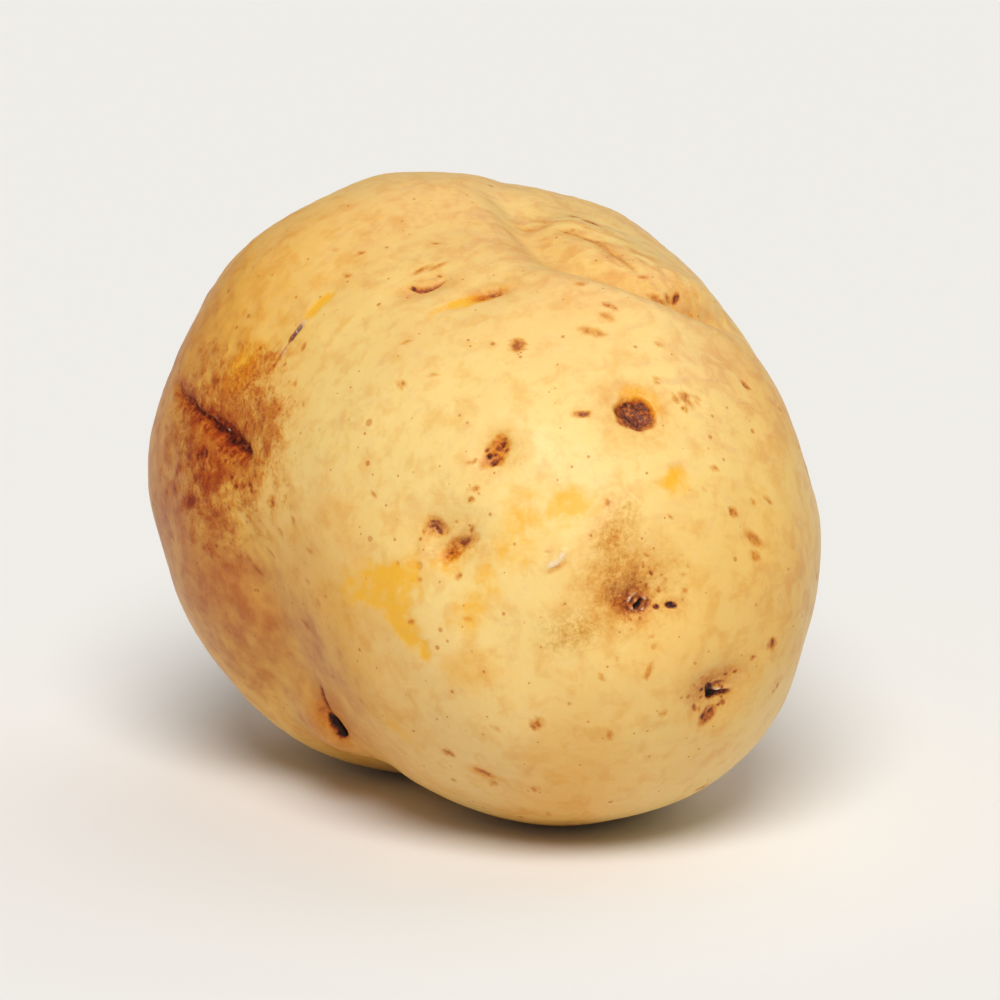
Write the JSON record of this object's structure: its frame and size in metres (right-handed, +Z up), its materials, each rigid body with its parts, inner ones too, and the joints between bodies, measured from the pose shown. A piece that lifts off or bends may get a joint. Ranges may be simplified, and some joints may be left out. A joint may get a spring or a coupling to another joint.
{
  "type": "potato",
  "caption": "Washed, pale-skinned table potato with shallow eyes, a shoulder fold, a scabbed patch and rubbed skin. It lies on a small flattened spot of its underside.",
  "frame": {"origin": "on the resting plane, under the middle of the bounding box", "axes": "+X along the length towards the rose end, where the eyes crowd together; +Y across, towards the shoulder; +Z up from the resting face"},
  "size_m": [0.0894, 0.0682, 0.0681],
  "materials": {
    "potato_skin": null
  },
  "bodies": {
    "root": {"potato": "potato_skin"}
  },
  "joints": []
}
